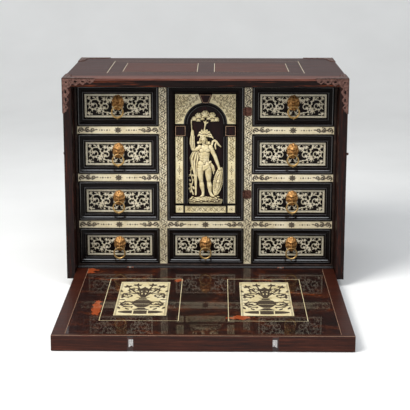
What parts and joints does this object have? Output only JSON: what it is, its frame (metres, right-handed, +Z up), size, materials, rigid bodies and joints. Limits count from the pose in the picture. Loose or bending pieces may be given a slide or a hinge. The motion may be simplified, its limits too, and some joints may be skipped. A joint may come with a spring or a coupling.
{
  "type": "coin collector cabinet",
  "caption": "Table coin cabinet with a drop front, lion-pull drawers round an arched door, ivory plaques, pierced corner mounts and side handles.",
  "frame": {"origin": "under the middle of the case, on the table it stands on", "axes": "+Z up, +X to the right as one faces the cabinet, the drawers and the fall front face -Y"},
  "size_m": [0.552, 0.6245, 0.3952],
  "materials": {
    "ebony": "ebony and ebonised pearwood, polished",
    "tortoiseshell": "tortoiseshell veneer over coloured foil, high polish",
    "walnut": "plain walnut carcass wood",
    "ivory": "old ivory, engraved and blacked, satin polish",
    "gilt": "fire-gilt cast brass",
    "brass": "old brass, worn bright",
    "gilt_copper": "pierced copper alloy sheet, worn gilding",
    "bronze": "dark bronze",
    "steel": "filed steel"
  },
  "bodies": {
    "case": {"case_top": "tortoiseshell", "case_sides": "ebony", "case_floor": "ebony", "case_back": "ebony", "base_battens": "ebony", "opening_lining": "ebony", "uprights": "walnut", "dust_boards": "walnut", "ivory_strips": "ivory", "top_stringing": "ivory", "corner_mounts": "gilt_copper", "hinge_leaves_fixed": "bronze", "handle_posts": "brass"},
    "bail_left": {"bail_left": "brass"},
    "bail_right": {"bail_right": "brass"},
    "fall": {"fall_panel": "tortoiseshell", "fall_ivory": "ivory", "fall_hinge_leaves": "bronze", "lock_plates": "steel"},
    "lock_bolt_left": {"lock_bolt_left": "steel"},
    "lock_bolt_right": {"lock_bolt_right": "steel"},
    "door": {"door_panel": "ebony", "door_ivory": "ivory", "door_hinge_leaves": "bronze"},
    "drawer_left_1": {"drawer_left_1_box": "ebony", "drawer_left_1_plaque": "ivory", "drawer_left_1_mask": "gilt"},
    "ring_left_1": {"drawer_left_1_ring": "brass"},
    "drawer_left_2": {"drawer_left_2_box": "ebony", "drawer_left_2_plaque": "ivory", "drawer_left_2_mask": "gilt"},
    "ring_left_2": {"drawer_left_2_ring": "brass"},
    "drawer_left_3": {"drawer_left_3_box": "ebony", "drawer_left_3_plaque": "ivory", "drawer_left_3_mask": "gilt"},
    "ring_left_3": {"drawer_left_3_ring": "brass"},
    "drawer_left_4": {"drawer_left_4_box": "ebony", "drawer_left_4_plaque": "ivory", "drawer_left_4_mask": "gilt"},
    "ring_left_4": {"drawer_left_4_ring": "brass"},
    "drawer_centre": {"drawer_centre_box": "ebony", "drawer_centre_plaque": "ivory", "drawer_centre_mask": "gilt"},
    "ring_centre": {"drawer_centre_ring": "brass"},
    "drawer_right_1": {"drawer_right_1_box": "ebony", "drawer_right_1_plaque": "ivory", "drawer_right_1_mask": "gilt"},
    "ring_right_1": {"drawer_right_1_ring": "brass"},
    "drawer_right_2": {"drawer_right_2_box": "ebony", "drawer_right_2_plaque": "ivory", "drawer_right_2_mask": "gilt"},
    "ring_right_2": {"drawer_right_2_ring": "brass"},
    "drawer_right_3": {"drawer_right_3_box": "ebony", "drawer_right_3_plaque": "ivory", "drawer_right_3_mask": "gilt"},
    "ring_right_3": {"drawer_right_3_ring": "brass"},
    "drawer_right_4": {"drawer_right_4_box": "ebony", "drawer_right_4_plaque": "ivory", "drawer_right_4_mask": "gilt"},
    "ring_right_4": {"drawer_right_4_ring": "brass"}
  },
  "joints": [
    {"name": "fall_hinge", "type": "hinge", "parent": "case", "child": "fall", "pos_m": [0, -0.124, 0.0275], "axis": [1, 0, 0], "range_deg": [-90, 0]},
    {"name": "lock_bolt_left_slide", "type": "slide", "parent": "fall", "child": "lock_bolt_left", "axis": [0, -1, 0], "range_m": [0, 0.006]},
    {"name": "lock_bolt_right_slide", "type": "slide", "parent": "fall", "child": "lock_bolt_right", "axis": [0, -1, 0], "range_m": [0, 0.006]},
    {"name": "door_hinge", "type": "hinge", "parent": "case", "child": "door", "pos_m": [0.07225, -0.106, 0.25], "axis": [0, 0, 1], "range_deg": [0, 90]},
    {"name": "bail_left_hinge", "type": "hinge", "parent": "case", "child": "bail_left", "pos_m": [-0.269, 0, 0.233], "axis": [0, 1, 0], "range_deg": [0, 100]},
    {"name": "bail_right_hinge", "type": "hinge", "parent": "case", "child": "bail_right", "pos_m": [0.269, 0, 0.233], "axis": [0, -1, 0], "range_deg": [0, 100]},
    {"name": "drawer_left_1_slide", "type": "slide", "parent": "case", "child": "drawer_left_1", "axis": [0, -1, 0], "range_m": [0, 0.17]},
    {"name": "ring_left_1_hinge", "type": "hinge", "parent": "drawer_left_1", "child": "ring_left_1", "pos_m": [-0.164, -0.112, 0.3365], "axis": [-1, 0, 0], "range_deg": [0, 80]},
    {"name": "drawer_left_2_slide", "type": "slide", "parent": "case", "child": "drawer_left_2", "axis": [0, -1, 0], "range_m": [0, 0.17]},
    {"name": "ring_left_2_hinge", "type": "hinge", "parent": "drawer_left_2", "child": "ring_left_2", "pos_m": [-0.164, -0.112, 0.245], "axis": [-1, 0, 0], "range_deg": [0, 80]},
    {"name": "drawer_left_3_slide", "type": "slide", "parent": "case", "child": "drawer_left_3", "axis": [0, -1, 0], "range_m": [0, 0.17]},
    {"name": "ring_left_3_hinge", "type": "hinge", "parent": "drawer_left_3", "child": "ring_left_3", "pos_m": [-0.164, -0.112, 0.1535], "axis": [-1, 0, 0], "range_deg": [0, 80]},
    {"name": "drawer_left_4_slide", "type": "slide", "parent": "case", "child": "drawer_left_4", "axis": [0, -1, 0], "range_m": [0, 0.17]},
    {"name": "ring_left_4_hinge", "type": "hinge", "parent": "drawer_left_4", "child": "ring_left_4", "pos_m": [-0.164, -0.112, 0.063], "axis": [-1, 0, 0], "range_deg": [0, 80]},
    {"name": "drawer_centre_slide", "type": "slide", "parent": "case", "child": "drawer_centre", "axis": [0, -1, 0], "range_m": [0, 0.17]},
    {"name": "ring_centre_hinge", "type": "hinge", "parent": "drawer_centre", "child": "ring_centre", "pos_m": [0, -0.112, 0.063], "axis": [-1, 0, 0], "range_deg": [0, 80]},
    {"name": "drawer_right_1_slide", "type": "slide", "parent": "case", "child": "drawer_right_1", "axis": [0, -1, 0], "range_m": [0, 0.17]},
    {"name": "ring_right_1_hinge", "type": "hinge", "parent": "drawer_right_1", "child": "ring_right_1", "pos_m": [0.164, -0.112, 0.3365], "axis": [-1, 0, 0], "range_deg": [0, 80]},
    {"name": "drawer_right_2_slide", "type": "slide", "parent": "case", "child": "drawer_right_2", "axis": [0, -1, 0], "range_m": [0, 0.17]},
    {"name": "ring_right_2_hinge", "type": "hinge", "parent": "drawer_right_2", "child": "ring_right_2", "pos_m": [0.164, -0.112, 0.245], "axis": [-1, 0, 0], "range_deg": [0, 80]},
    {"name": "drawer_right_3_slide", "type": "slide", "parent": "case", "child": "drawer_right_3", "axis": [0, -1, 0], "range_m": [0, 0.17]},
    {"name": "ring_right_3_hinge", "type": "hinge", "parent": "drawer_right_3", "child": "ring_right_3", "pos_m": [0.164, -0.112, 0.1535], "axis": [-1, 0, 0], "range_deg": [0, 80]},
    {"name": "drawer_right_4_slide", "type": "slide", "parent": "case", "child": "drawer_right_4", "axis": [0, -1, 0], "range_m": [0, 0.17]},
    {"name": "ring_right_4_hinge", "type": "hinge", "parent": "drawer_right_4", "child": "ring_right_4", "pos_m": [0.164, -0.112, 0.063], "axis": [-1, 0, 0], "range_deg": [0, 80]}
  ]
}
